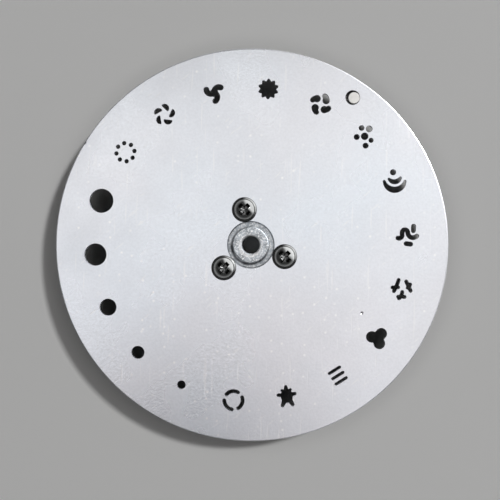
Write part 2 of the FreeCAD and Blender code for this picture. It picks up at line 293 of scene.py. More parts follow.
def new_group(name, inputs, outputs):
    """Empty node group with a Vector input, its other inputs by name and default, and its number outputs.

    An input whose default has three numbers is a vector. Returns the group, its given values and its results.
    """
    group = bpy.data.node_groups.new(name, "ShaderNodeTree")
    add_socket = group.interface.new_socket
    add_socket(name="Vector", in_out="INPUT", socket_type="NodeSocketVector")
    for socket, default in inputs.items():
        kind = "NodeSocketVector" if isinstance(default, tuple) else "NodeSocketFloat"
        add_socket(name=socket, in_out="INPUT", socket_type=kind).default_value = default
    for socket in outputs:
        add_socket(name=socket, in_out="OUTPUT", socket_type="NodeSocketFloat")
    return group, group.nodes.new("NodeGroupInput").outputs, group.nodes.new("NodeGroupOutput").inputs


def grain_group():
    """Fine and broad unevenness of a metal surface, each from 0 to 1."""
    inputs = {"Fine Scale": 1800.0, "Broad Scale": 70.0}
    group, given, result = new_group("Metal grain", inputs, ("Fine", "Broad"))
    fine = noise(group, given["Vector"], given["Fine Scale"], 3.0, 0.6)
    broad = noise(group, given["Vector"], given["Broad Scale"])
    group.links.new(fine, result["Fine"])
    group.links.new(broad, result["Broad"])
    return group


def turning_group():
    """Tool marks of a lathe: noise of the distance from Z, so that it makes fine rings."""
    group, given, result = new_group("Turning marks", {"Density": 9000.0}, ("Height", "Bands"))
    flat = vector_maths(group, "MULTIPLY", given["Vector"], (1, 1, 0))
    radius = vector_maths(group, "LENGTH", flat, output="Value")
    height = add_node(group, "ShaderNodeSeparateXYZ", {0: given["Vector"]}).outputs[2]
    run = maths(group, "ADD", radius, maths(group, "MULTIPLY", height, 1.37))
    group.links.new(line_noise(group, run, given["Density"], 0.6), result["Height"])
    group.links.new(line_noise(group, run, 1500.0, 0.5), result["Bands"])
    return group


def hairline_group():
    """Thin faint marks along Y: stretched noise of which only the narrow peaks are kept."""
    inputs = {"Turn": 0.0, "Across": 700.0, "Along": 30.0, "Threshold": 0.7}
    group, given, result = new_group("Hairlines", inputs, ("Mask",))
    sockets = {"Vector": given["Vector"], "Angle": given["Turn"]}
    turned = add_node(group, "ShaderNodeVectorRotate", sockets, rotation_type="Z_AXIS").outputs[0]
    stretch = add_node(group, "ShaderNodeCombineXYZ", {0: given["Across"], 1: given["Along"], 2: 1.0})
    value = noise(group, vector_maths(group, "MULTIPLY", turned, stretch.outputs[0]), 1.0, 1.0)
    upper = maths(group, "ADD", given["Threshold"], 0.08)
    group.links.new(remap(group, value, given["Threshold"], upper, 0.0, 1.0), result["Mask"])
    return group


def spot_group():
    """Soft round spot: 1 at its centre and 0 from its radius on."""
    group, given, result = new_group("Spot", {"Centre": (0, 0, 0), "Radius": 0.5 * MM}, ("Mask",))
    gap = vector_maths(group, "DISTANCE", given["Vector"], given["Centre"], output="Value")
    share = maths(group, "DIVIDE", gap, given["Radius"])
    group.links.new(remap(group, share, 0.0, 1.0, 1.0, 0.0, True), result["Mask"])
    return group


def ring_group():
    """Soft round line about an upright axis: 1 at its radius and 0 from its width on, to both sides."""
    inputs = {"Centre": (0, 0, 0), "Radius": 5 * MM, "Width": 0.3 * MM}
    group, given, result = new_group("Ring", inputs, ("Mask",))
    moved = vector_maths(group, "SUBTRACT", given["Vector"], given["Centre"])
    flat = vector_maths(group, "MULTIPLY", moved, (1, 1, 0))
    length = vector_maths(group, "LENGTH", flat, output="Value")
    gap = maths(group, "ABSOLUTE", maths(group, "SUBTRACT", length, given["Radius"]))
    share = maths(group, "DIVIDE", gap, given["Width"])
    group.links.new(remap(group, share, 0.0, 1.0, 1.0, 0.0, True), result["Mask"])
    return group


GROUP_MAKERS = {
    "Metal grain": grain_group,
    "Turning marks": turning_group,
    "Hairlines": hairline_group,
    "Spot": spot_group,
    "Ring": ring_group,
}


def rgba(colour, factor=1.0):
    """A colour times a factor, with full alpha."""
    return (colour[0] * factor, colour[1] * factor, colour[2] * factor, 1.0)


class Finish:
    """A material under construction: its tree, its Principled shader and Object coordinates."""

    def __init__(self, name, metallic, **constants):
        self.material = bpy.data.materials.new(name)
        self.material.use_nodes = True
        self.tree = self.material.node_tree
        self.shader = self.tree.nodes["Principled BSDF"]
        self.shader.inputs["Metallic"].default_value = metallic
        for socket, value in constants.items():
            self.shader.inputs[socket.replace("_", " ")].default_value = value
        self.place = self.tree.nodes.new("ShaderNodeTexCoord").outputs["Object"]

    def effect(self, name, **values):
        """Outputs of a shared node group, made at its first use and placed with its own values."""
        group = bpy.data.node_groups.get(name) or GROUP_MAKERS[name]()
        sockets = {"Vector": self.place}
        sockets.update({key.replace("_", " "): value for key, value in values.items()})
        return add_node(self.tree, "ShaderNodeGroup", sockets, node_tree=group).outputs

    def link(self, value, socket):
        """Links a value to an input of the shader."""
        self.tree.links.new(value, self.shader.inputs[socket])

    def bump(self, height, distance):
        """Raises the surface by a height times a distance."""
        sockets = {"Height": height, "Distance": distance, "Strength": 1.0}
        node = add_node(self.tree, "ShaderNodeBump", sockets)
        self.link(node.outputs[0], "Normal")


def sheet_specks(finish, strength):
    """Mask of pale specks: a chosen few of the cells of a flat pattern, more of them in the handled area."""
    tree, place = finish.tree, finish.place
    centre, radius = HANDLED_AREA
    sockets = {"Vector": place, "Scale": 330.0, "Randomness": 1.0}
    cells = add_node(tree, "ShaderNodeTexVoronoi", sockets, voronoi_dimensions="2D")
    chance = add_node(tree, "ShaderNodeSeparateColor", {0: cells.outputs["Color"]}).outputs[0]
    handled = finish.effect("Spot", Centre=centre, Radius=radius)["Mask"]
    crowd = remap(tree, noise(tree, place, 60.0), 0.4, 0.65, 0.0, 0.35)
    crowd = maths(tree, "ADD", crowd, maths(tree, "MULTIPLY", handled, 0.3))
    chosen = remap(tree, maths(tree, "ADD", chance, crowd), 0.98, 1.3, 0.0, 1.0)
    size = remap(tree, cells.outputs["Distance"], 0.05, 0.15, strength, 0.0)
    return maths(tree, "MULTIPLY", size, chosen)


def sheet_material(look):
    """Matt rolled sheet.

    It has fine grain, soft clouding, a slow change from cold to warm, faint hairlines, pale specks,
    two knocks near the edge and a rolled edge. It scatters light more widely where it is seen at a slant.
    """
    finish = Finish("Matt aluminium sheet", 1.0)
    tree, place = finish.tree, finish.place
    grain = finish.effect("Metal grain", Fine_Scale=1500.0, Broad_Scale=55.0)
    grained = spread(tree, grain["Fine"], 0.0, 1.0)
    base = mix_colour(tree, grained, rgba(look.colour, 0.95), rgba(look.colour, 1.04))
    base = mix_colour(tree, spread(tree, grain["Broad"], 0.0, look.clouding), base, rgba(look.colour, 0.86))
    warmth = remap(tree, noise(tree, place, 22.0), 0.35, 0.65, 0.0, 1.0)
    base = mix_colour(tree, 1.0, base, mix_colour(tree, warmth, COLD_TINT, WARM_TINT), "MULTIPLY")
    upright = finish.effect("Hairlines", Turn=0.02, Across=950.0, Along=70.0, Threshold=0.65)["Mask"]
    slanted = finish.effect("Hairlines", Turn=0.85, Across=1100.0, Along=190.0, Threshold=0.67)["Mask"]
    marks = maths(tree, "MAXIMUM", upright, slanted)
    base = mix_colour(tree, maths(tree, "MULTIPLY", marks, look.hairlines), base, SCUFFED)
    base = mix_colour(tree, sheet_specks(finish, look.specks), base, WHITE)
    pit = finish.effect("Spot", Centre=EDGE_PIT[0], Radius=EDGE_PIT[1])["Mask"]
    nick = finish.effect("Spot", Centre=EDGE_NICK[0], Radius=EDGE_NICK[1])["Mask"]
    knocks = maths(tree, "MAXIMUM", pit, nick)
    base = mix_colour(tree, maths(tree, "MULTIPLY", knocks, 0.75), base, BRUISED)
    finish.link(base, "Base Color")

    rough = spread(tree, grain["Broad"], look.roughness - 0.03, look.roughness + 0.03)
    facing = add_node(tree, "ShaderNodeLayerWeight", {"Blend": 0.5}).outputs["Facing"]
    slant = remap(tree, facing, 0.08, 0.5, 0.0, look.slant_roughness)
    finish.link(maths(tree, "ADD", rough, slant), "Roughness")

    rolled = finish.effect("Ring", Radius=DISC_RADIUS, Width=ROLLED_EDGE_WIDTH)["Mask"]
    height = grain["Fine"]
    for mask, depth in ((knocks, 6.0), (marks, 0.4), (rolled, 2.1)):
        height = maths(tree, "SUBTRACT", height, maths(tree, "MULTIPLY", mask, depth))
    finish.bump(height, 0.02 * MM)
    return finish.material


def turned_material(look):
    """Turned aluminium.

    It has fine rings from the tool, brighter and duller bands and mottling. A pale ring on the bore's edge is a
    painted highlight. Painted shade darkens it low down by the disc, a painted shadow lies below the nose on
    one side, and the joint with the disc is a dark line that painted shade makes stronger on one side.
    """
    finish = Finish("Turned aluminium", 1.0)
    tree, place = finish.tree, finish.place
    rings = finish.effect("Turning marks", Density=11000.0)
    grain = finish.effect("Metal grain", Fine_Scale=2000.0, Broad_Scale=620.0)
    bright = remap(tree, rings["Bands"], 0.35, 0.65, 0.0, 1.0)
    base = mix_colour(tree, bright, rgba(look.colour, 0.75), rgba(look.colour))
    base = mix_colour(tree, remap(tree, grain["Broad"], 0.42, 0.62, 0.0, 0.75), base, rgba(look.colour, 0.5))
    base = mix_colour(tree, remap(tree, grain["Fine"], 0.5, 0.64, 0.0, 1.0), base, WHITE)
    # Painted highlight: a pale ring on the bore's edge, about a point off the axis.
    wear_and_highlight = finish.effect(
        "Ring", Centre=BORE_HIGHLIGHT_MIDDLE, Radius=BORE_HIGHLIGHT_RADIUS, Width=BORE_HIGHLIGHT_WIDTH)["Mask"]
    base = mix_colour(tree, maths(tree, "MULTIPLY", wear_and_highlight, 0.55), base, WHITE)

    # Painted shade: the hub is darker within a small height over the disc's face.
    height = add_node(tree, "ShaderNodeSeparateXYZ", {0: place}).outputs[2]
    low = remap(tree, height, DISC_TOP, DISC_TOP + PAINTED_SHADE_HEIGHT, 1.0, 0.0)
    base = mix_colour(tree, maths(tree, "MULTIPLY", low, 0.35), base, rgba(look.colour, 0.45))
    # Painted shadow below the nose: a crescent from a ring about a point off the axis. The dark joint with the
    # disc is made stronger on one side by painted shade. Both show only low down, and patchy.
    nose = finish.effect("Ring", Centre=NOSE_SHADOW_MIDDLE, Radius=look.nose_radius, Width=look.painted_shade_width)["Mask"]
    joint = finish.effect("Ring", Radius=look.spigot_radius, Width=look.painted_shade_width * 0.5)["Mask"]
    side = vector_maths(tree, "DOT_PRODUCT", place, SHADED_JOINT_SIDE, output="Value")
    joint = maths(tree, "MULTIPLY", joint, remap(tree, side, *SHADED_JOINT_FADE, 0.5, 1.0))
    patchy = remap(tree, grain["Broad"], 0.3, 0.6, 0.75, 1.0)
    painted_shade = product(tree, maths(tree, "MAXIMUM", nose, joint), low, patchy)
    finish.link(mix_colour(tree, painted_shade, base, PAINTED_SHADE), "Base Color")

    finish.link(spread(tree, grain["Broad"], look.roughness - 0.06, look.roughness + 0.1), "Roughness")
    height = maths(tree, "ADD", rings["Height"], maths(tree, "MULTIPLY", grain["Fine"], 0.5))
    finish.bump(height, look.ring_depth)
    return finish.material


def plated_material(name, colour, roughness, smudges):
    """Plate on steel with faint smudges and a fine orange peel.

    It is darker, with painted shade, and duller where the mesh's recess attribute marks a recess or a corner.
    """
    finish = Finish(name, 1.0)
    tree = finish.tree
    grain = finish.effect("Metal grain", Fine_Scale=3000.0, Broad_Scale=600.0)
    dull = remap(tree, grain["Broad"], 0.35, 0.7, 0.0, smudges)
    bright = remap(tree, grain["Fine"], 0.55, 0.8, 0.0, smudges)
    base = mix_colour(tree, dull, rgba(colour), rgba(colour, 0.6))
    base = mix_colour(tree, bright, base, rgba(colour, 1.5))
    # Painted shade: the recess attribute darkens the plate in the screws' recesses, on the washer's rim and at the
    # head's foot.
    recess = add_node(tree, "ShaderNodeAttribute", attribute_name="recess").outputs["Fac"]
    base = mix_colour(tree, maths(tree, "MULTIPLY", recess, 0.93), base, rgba(colour, 0.05))
    finish.link(base, "Base Color")
    wear_and_highlight = spread(tree, grain["Broad"], roughness - 0.04, roughness + 0.07)
    finish.link(maths(tree, "ADD", wear_and_highlight, maths(tree, "MULTIPLY", recess, 0.12)), "Roughness")
    finish.bump(grain["Fine"], 0.006 * MM)
    return finish.material


def adhesive_material(look):
    """Glossy black cured adhesive, a little uneven."""
    finish = Finish("Black adhesive", 0.0)
    grain = finish.effect("Metal grain", Fine_Scale=2400.0, Broad_Scale=900.0)
    base = mix_colour(finish.tree, grain["Broad"], rgba(look.colour), rgba(look.colour, 2.2))
    finish.link(base, "Base Color")
    finish.link(spread(finish.tree, grain["Fine"], look.roughness, look.roughness + 0.12), "Roughness")
    finish.bump(grain["Broad"], 0.06 * MM)
    return finish.material


# Shapes

def cross_boundary(turns, span, width, softness):
    """Distance from the middle to the edge of a cross at each angle.

    With p the angle from the nearest arm, it is
    (|sin p| / (width / 2))^n + (cos p / (span / 2))^n, raised to -1 / n.
    """
    angle = (turns + math.pi / 4) % (math.pi / 2) - math.pi / 4
    side = np.abs(np.sin(angle)) / (width / 2)
    end = np.cos(angle) / (span / 2)
    return (side ** softness + end ** softness) ** (-1 / softness)


def hexagon_boundary(turns, across_flats):
    """Distance from the middle to the edge of a hexagon at each angle: half its width over cos p."""
    angle = (turns + math.pi / 6) % (math.pi / 3) - math.pi / 6
    return across_flats / 2 / np.cos(angle)


def crown_height(radii, shape):
    """Height of the pan head at each radius: a skirt, then a cap sqrt(R^2 - r^2) - (R - h) of a ball."""
    edge = shape.head_diameter / 2
    skirt = shape.washer_thickness + 0.3 * MM
    rise = shape.head_height - skirt
    ball = (edge ** 2 + rise ** 2) / (2 * rise)
    cap = np.sqrt(ball ** 2 - np.clip(radii, 0, edge) ** 2) - (ball - rise)
    return skirt + cap


def disc_screw_grid(shape):
    """Washer-faced pan head screw about Z, its seat at height 0.

    Rows run from the tip up the thread, out under the washer face, over its rim and the head, down the
    walls of the cross recess and in to the middle of its floor. Returns the points, the two ends and the
    recess values of the rows and ends, the strength of painted shade in the recess, on the washer's rim
    and at the foot of the head.
    """
    turns = all_turns(144)
    shank, washer, head = shape.thread_diameter / 2, shape.washer_diameter / 2, shape.head_diameter / 2
    length, pitch, thick = shape.length, shape.pitch, shape.washer_thickness
    tip_length, tip_depth = 0.4 * MM, 0.45 * MM
    rim, slope_start, slope_height = 0.16 * MM, 0.22 * MM, 0.34 * MM
    skirt_low, skirt_high = 0.08 * MM, 0.22 * MM

    heights = np.linspace(-length, -0.1 * MM, 96)[:, None]
    radii = thread_radii(heights, turns, shank, shape.thread_depth, pitch, -length - pitch, -0.2 * MM)
    radii = radii - tip_depth * (1 - np.clip((heights + length) / tip_length, 0, 1))
    rows = [polar_grid(radii, heights, turns)]

    outline = np.vstack([
        turned_rows([(shank, 0), (washer - rim, 0)], [4]),
        round_corner((washer - rim, rim), rim, -70, 50, 8),
        turned_rows([(washer - slope_start, slope_height), (head, thick)], [8]),
        turned_rows([(head, thick + skirt_low), (head, thick + skirt_high)], [2]),
    ])
    rows.append(polar_grid(outline[:, :1], outline[:, 1:], turns))

    arms = turns - shape.recess_turn
    mouth = cross_boundary(arms, shape.recess_span, shape.recess_width, 14.0)
    share = (np.linspace(1, 0, 24) ** 0.8)[:, None]
    radii = mouth + (head - mouth) * share
    rows.append(polar_grid(radii, crown_height(radii, shape), turns))
    outside = sum(len(part) for part in rows)

    floor = cross_boundary(arms, shape.recess_span * 0.62, shape.recess_width * 0.85, 6.0)
    lip = crown_height(mouth, shape)
    bottom = shape.head_height - shape.recess_depth
    dish = 0.3 * MM
    share = np.linspace(0.03, 1, 14)[:, None]
    rows.append(polar_grid(mouth + (floor - mouth) * share, lip + (bottom - lip) * share ** 0.7, turns))
    share = np.linspace(0.8, 0.2, 4)[:, None]
    rows.append(polar_grid(floor * share, bottom - dish * (1 - share), turns))
    grid = np.vstack(rows)

    # Painted shade for the material: values for the washer's rim, the head's foot, the recess walls and the recess
    # floor.
    reach, height = np.hypot(grid[:outside, 0, 0], grid[:outside, 0, 1]), grid[:outside, 0, 2]
    rim_shade = reach > washer - 0.26 * MM
    foot_shade = (np.abs(reach - head - 0.04 * MM) < 0.14 * MM) & (height > 0.1 * MM)
    corners = np.where(rim_shade, 0.7, 0) + np.where(foot_shade, 0.85, 0)
    walls, floor_shade, floor_end_shade = [np.linspace(0.5, 1, 3), np.ones(11)], 0.6, 0.3
    recess = np.concatenate([corners, *walls, np.full(4, floor_shade), [0, floor_end_shade]])
    return grid, np.array([(0, 0, -length), (0, 0, bottom - dish)]), recess


def set_screw_grid(shape):
    """Hexagon socket set screw along Z, its cup point at height 0.

    Rows run from the cup over its edge, up the thread, over the end and down the socket to its floor.
    """
    turns = all_turns(96)
    major, length = shape.diameter / 2, shape.length
    cup_depth, cup_floor, chamfer = 0.42 * MM, 0.45 * MM, 0.3 * MM
    cup_edge, root = shape.cup_diameter / 2, major - shape.thread_depth
    cup = turned_rows([(0.1 * MM, cup_depth), (cup_edge, 0.0), (root, chamfer)], [6, 4])
    rows = [polar_grid(cup[:, :1], cup[:, 1:], turns)]

    heights = np.linspace(0.36 * MM, length - chamfer, 84)[:, None]
    radii = thread_radii(heights, turns, major, shape.thread_depth, shape.pitch, 0.0, length)
    rows.append(polar_grid(radii, heights, turns))
    end = turned_rows([(major - 0.05 * MM, length - 0.25 * MM), (major - chamfer, length)], [3])
    rows.append(polar_grid(end[:, :1], end[:, 1:], turns))

    mouth = hexagon_boundary(turns, shape.socket)
    share = np.linspace(0.8, 0, 4)[:, None]
    rows.append(polar_grid(mouth + (major - chamfer - mouth) * share, length, turns))
    floor, dish = length - shape.socket_depth, 0.3 * MM
    rows.append(polar_grid(mouth, np.linspace(length - 0.03 * MM, floor, 4)[:, None], turns))
    share = np.linspace(0.8, 0.2, 4)[:, None]
    rows.append(polar_grid(mouth * share, floor - dish * (1 - share), turns))
    return np.vstack(rows), np.array([(0, 0, cup_floor), (0, 0, floor - dish)])


def magnet_grid(centre, radius, low, high):
    """Flat round magnet: a profile of its underside, two rounded rims and its face, turned about Z."""
    edge, core = 0.12 * MM, radius * 0.1
    outline = np.vstack([
        turned_rows([(core, low), (radius - edge, low)], [3]),
        round_corner((radius - edge, low + edge), edge, -90, 0, 5)[1:],
        round_corner((radius - edge, high - edge), edge, 0, 90, 7),
        turned_rows([(radius - edge * 1.6, high), (core, high)], [10]),
    ])
    grid = polar_grid(outline[:, :1], outline[:, 1:], all_turns(96)) + np.array([centre.x, centre.y, 0])
    return grid, np.array([(centre.x, centre.y, low), (centre.x, centre.y, high)])


def adhesive_grid(hole, hole_radius, magnet, magnet_radius, low, high, sag):
    """Ring of adhesive between the hole's wall and the magnet, its two faces sunk between the walls.

    A point is wall + (magnet side - wall) s, and its height is the face less sag * 4 s (1 - s) * width.
    A slow wave around the ring makes the fill uneven.
    """
    turns = all_turns(144)
    outer = np.stack([hole.x + hole_radius * np.cos(turns), hole.y + hole_radius * np.sin(turns)], -1)
    inner = np.stack([magnet.x + magnet_radius * np.cos(turns), magnet.y + magnet_radius * np.sin(turns)], -1)
    width = np.linalg.norm(outer - inner, axis=-1)
    wave = 1 + 0.3 * np.sin(3 * turns + 0.7) + 0.2 * np.sin(7 * turns)
    share = np.linspace(0, 1, 14)
    dip = (sag * 4 * share * (1 - share))[:, None] * (width / width.max() * wave)[None, :]
    across = outer[None] + (inner - outer)[None] * share[:, None, None]
    top = np.concatenate([across, (high - dip)[..., None]], -1)
    under = np.concatenate([across[::-1], (low + dip[::-1])[..., None]], -1)
    return np.vstack([top, under])


# Sizes and colours that a user would change

def length_property(name, description, default):
    """Property for a length in metres."""
    return bpy.props.FloatProperty(
        name=name, description=description, default=default, unit="LENGTH", min=0, precision=6)


def share_property(name, description, default):
    """Property for a share from 0 to 1."""
    return bpy.props.FloatProperty(
        name=name, description=description, default=default, subtype="FACTOR", min=0, max=1)


def strength_property(name, description, default):
    """Property for the strength of a light."""
    return bpy.props.FloatProperty(name=name, description=description, default=default, min=0)


def angle_property(name, description, degrees):
    """Property for an angle, with its default in degrees."""
    return bpy.props.FloatProperty(
        name=name, description=description, default=math.radians(degrees), subtype="ANGLE")


def colour_property(name, description, default):
    """Property for a colour."""
    return bpy.props.FloatVectorProperty(
        name=name, description=description, default=default, subtype="COLOR", size=3, min=0, max=1)


def vector_property(name, description, default, subtype="DIRECTION"):
    """Property for a direction or a place."""
    return bpy.props.FloatVectorProperty(
        name=name, description=description, default=default, subtype=subtype, size=3)


class GoboDiscLook(bpy.types.PropertyGroup):
    colour: colour_property("Colour", "Colour of the bare sheet", (0.84, 0.87, 0.905))
    roughness: share_property("Roughness", "How matt the sheet is", 0.28)
    slant_roughness: share_property(
        "Slant roughness", "Roughness added where the sheet is seen at a slant", 0.3)
    clouding: share_property("Clouding", "Strength of the broad darker patches", 0.35)
    hairlines: share_property("Hairlines", "Strength of the thin handling marks", 0.35)
    specks: share_property("Specks", "Strength of the pale specks", 0.8)


class HubLook(bpy.types.PropertyGroup):
    colour: colour_property("Colour", "Colour of the turned aluminium", (0.56, 0.605, 0.65))
    roughness: share_property("Roughness", "Roughness between the tool marks", 0.4)
    ring_depth: length_property("Ring depth", "Depth of the tool marks", 0.012 * MM)
    # The nose corner, the spigot corner and the width place the hub's painted shadow and painted shade.
    nose_radius: length_property("Nose corner", "Radius of the corner below the nose", 5.0 * MM)
    spigot_radius: length_property("Spigot corner", "Radius of the joint with the disc", 6.5 * MM)
    painted_shade_width: length_property("Painted_shade", "Width of the dirt in the corners", 0.7 * MM)


class DiscScrewShape(bpy.types.PropertyGroup):
    thread_diameter: length_property("Thread", "Outer diameter of the thread", 3.0 * MM)
    pitch: length_property("Pitch", "Pitch of the thread", 0.5 * MM)
    thread_depth: length_property("Thread depth", "Depth of the thread", 0.28 * MM)
    length: length_property("Length", "Length under the head", 5.0 * MM)
    washer_diameter: length_property("Washer face", "Diameter of the head's washer face", 7.0 * MM)
    washer_thickness: length_property("Washer thickness", "Thickness of the washer face", 0.55 * MM)
    head_diameter: length_property("Head", "Diameter of the pan head above its washer face", 5.7 * MM)
    head_height: length_property(
        "Head height", "Height of the head above the disc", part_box("disc_screw_1")[1].z - DISC_TOP)
    recess_span: length_property("Recess", "Width of the cross recess from tip to tip", 3.8 * MM)
    recess_width: length_property("Recess arm", "Width of the recess's arms", 1.3 * MM)
    recess_depth: length_property("Recess depth", "Depth of the recess", 1.5 * MM)
    recess_turn: angle_property("Recess turn", "Angle of the recess's first arm from +X", 46)
    colour: colour_property("Colour", "Colour of the plate", (0.34, 0.345, 0.345))
    roughness: share_property("Roughness", "Roughness of the plate", 0.17)


class SetScrewShape(bpy.types.PropertyGroup):
    diameter: length_property("Thread", "Outer diameter of the thread", 3.0 * MM)
    length: length_property("Length", "Length of the set screw", 4.0 * MM)
    pitch: length_property("Pitch", "Pitch of the thread", 0.5 * MM)
    thread_depth: length_property("Thread depth", "Depth of the thread", 0.28 * MM)
    socket: length_property("Socket", "Width of the socket across its flats", 1.5 * MM)
    socket_depth: length_property("Socket depth", "Depth of the socket", 1.6 * MM)
    cup_diameter: length_property("Cup point", "Diameter of the cup point", 1.6 * MM)
    colour: colour_property("Colour", "Colour of the black oxide", (0.06, 0.058, 0.056))
    roughness: share_property("Roughness", "Roughness of the black oxide", 0.42)


class MagnetLook(bpy.types.PropertyGroup):
    colour: colour_property("Magnet", "Colour of the magnet's plate", (0.64, 0.63, 0.61))
    roughness: share_property("Magnet roughness", "Roughness of the magnet's plate", 0.5)


class AdhesiveLook(bpy.types.PropertyGroup):
    colour: colour_property("Adhesive", "Colour of the adhesive", (0.006, 0.006, 0.007))
    roughness: share_property("Adhesive roughness", "Roughness of the adhesive", 0.12)
    sag: length_property("Sag", "How far the adhesive sinks between the walls", 0.22 * MM)


class StageSettings(bpy.types.PropertyGroup):
    camera_place: vector_property(
        "Camera", "Place of the camera", (0.00462, -0.0018, DISC_TOP + 0.2), "TRANSLATION")
    camera_target: vector_property(
        "Target", "Point in the middle of the picture", (-0.00024, -0.00148, DISC_TOP), "TRANSLATION")
    field: length_property("Field", "Width of the picture at the disc's face", 0.1401)
    key_azimuth: angle_property("Key azimuth", "Direction of the key light from +X", 34)
    key_elevation: angle_property("Key elevation", "Height of the key light over the floor", 51)
    key_distance: length_property("Key distance", "Distance of the key light", 3.0)
    key_size: length_property("Key size", "Side of the key light's panel", 0.3)
    key_power: strength_property("Key power", "Power of the key light in watts", 31.0)
    fill_light: strength_property("Fill", "Strength of the world on matt surfaces", 0.7)
    shine: strength_property("Shine", "Strength of the studio's ceiling in metal", 0.99)
    ceiling: vector_property("Ceiling", "Direction of the ceiling's middle", (-0.09, -0.13, 1.0))
    dark_side: vector_property("Dark side", "Direction in which the ceiling is dark", (-0.13, -0.37, 1.0))
    horizon: strength_property("Horizon", "Strength of the studio's walls in metal", 0.5)
    window: strength_property("Window", "Strength of the bright window in metal", 1.9)
    window_side: vector_property("Window side", "Side on which the bright window is", (0.8, 0.6, 0.0))
    floor_colour: colour_property("Floor", "Colour of the floor", (0.9, 0.9, 0.89))


class GoboWheelSettings(bpy.types.PropertyGroup):
    disc: bpy.props.PointerProperty(name="Disc", description="Look of the disc", type=GoboDiscLook)
    hub: bpy.props.PointerProperty(name="Hub", description="Look of the hub", type=HubLook)
    disc_screws: bpy.props.PointerProperty(
        name="Disc screws", description="Sizes and look of the disc screws", type=DiscScrewShape)
    set_screws: bpy.props.PointerProperty(
        name="Set screws", description="Sizes and look of the set screws", type=SetScrewShape)
    magnet: bpy.props.PointerProperty(name="Magnet", description="Look of the magnet", type=MagnetLook)
    adhesive: bpy.props.PointerProperty(
        name="Adhesive", description="Look of the adhesive", type=AdhesiveLook)
    stage: bpy.props.PointerProperty(name="Stage", description="Floor, lights and camera", type=StageSettings)


# Operators

class GOBO_OT_disc(bpy.types.Operator):
    """Give the disc its matt sheet finish"""

    bl_idname = "gobo.disc"
    bl_label = "Gobo Disc"

    def execute(self, context):
        dress_node("gobo_disc", sheet_material(context.scene.gobo_wheel.disc))
        return {"FINISHED"}


class GOBO_OT_hub(bpy.types.Operator):
    """Give the hub its turned finish"""

    bl_idname = "gobo.hub"
    bl_label = "Hub"

    def execute(self, context):
        dress_node("hub", turned_material(context.scene.gobo_wheel.hub))
        return {"FINISHED"}


class GOBO_OT_disc_screws(bpy.types.Operator):
    """Build the three washer-faced screws that hold the disc"""

    bl_idname = "gobo.disc_screws"
    bl_label = "Disc Screws"

    def execute(self, context):
        shape = context.scene.gobo_wheel.disc_screws
        material = plated_material("Black nickel plate", shape.colour, shape.roughness, 0.5)
        grid, poles, recess = disc_screw_grid(shape)
        for number, node in enumerate(DISC_SCREWS, 1):
            middle = box_middle(node)
            seat = np.array([middle.x, middle.y, DISC_TOP])
            name = f"washer_head_screw_{number}"
            mesh = closed_mesh(name, grid + seat, poles + seat, recess)
            add_piece(name, mesh, material, node)
        return {"FINISHED"}


class GOBO_OT_set_screws(bpy.types.Operator):
    """Build the two set screws in the hub's collar"""

    bl_idname = "gobo.set_screws"
    bl_label = "Set Screws"

    def execute(self, context):
        shape = context.scene.gobo_wheel.set_screws
        material = plated_material("Black oxide", shape.colour, shape.roughness, 0.6)
        grid, poles = set_screw_grid(shape)
        for number, node in enumerate(SET_SCREWS, 1):
            joint = next(j for j in frame["joints"] if j["child"] == body_of(node))
            outward = -Vector(joint["axis"]).normalized()
            axes = np.array([UP.cross(outward), UP, outward])
            point = np.array(box_middle(node) - outward * shape.length / 2)
            name = f"socket_set_screw_{number}"
            mesh = closed_mesh(name, grid @ axes + point, poles @ axes + point)
            add_piece(name, mesh, material, node)
        return {"FINISHED"}


class GOBO_OT_magnet(bpy.types.Operator):
    """Build the index magnet"""

    bl_idname = "gobo.magnet"
    bl_label = "Index Magnet"

    def execute(self, context):
        look = context.scene.gobo_wheel.magnet
        low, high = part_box("index_magnet")
        grid, poles = magnet_grid(box_middle("index_magnet"), (high.x - low.x) / 2, low.z, high.z)
        material = plated_material("Dull nickel plate", look.colour, look.roughness, 0.25)
        mesh = closed_mesh("round_magnet", grid, poles)
        add_piece("round_magnet", mesh, material, "index_magnet")
        return {"FINISHED"}


class GOBO_OT_adhesive(bpy.types.Operator):
    """Build the adhesive around the magnet"""

    bl_idname = "gobo.adhesive"
    bl_label = "Adhesive"

    def execute(self, context):
        look = context.scene.gobo_wheel.adhesive
        hole, magnet = box_middle("magnet_adhesive"), box_middle("index_magnet")
        low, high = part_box("magnet_adhesive")
        magnet_low, magnet_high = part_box("index_magnet")
        hole_radius, magnet_radius = (high.x - low.x) / 2, (magnet_high.x - magnet_low.x) / 2
        grid = adhesive_grid(hole, hole_radius, magnet, magnet_radius, low.z, high.z, look.sag)
        mesh = closed_mesh("adhesive_fill", grid)
        add_piece("adhesive_fill", mesh, adhesive_material(look), "magnet_adhesive")
        return {"FINISHED"}


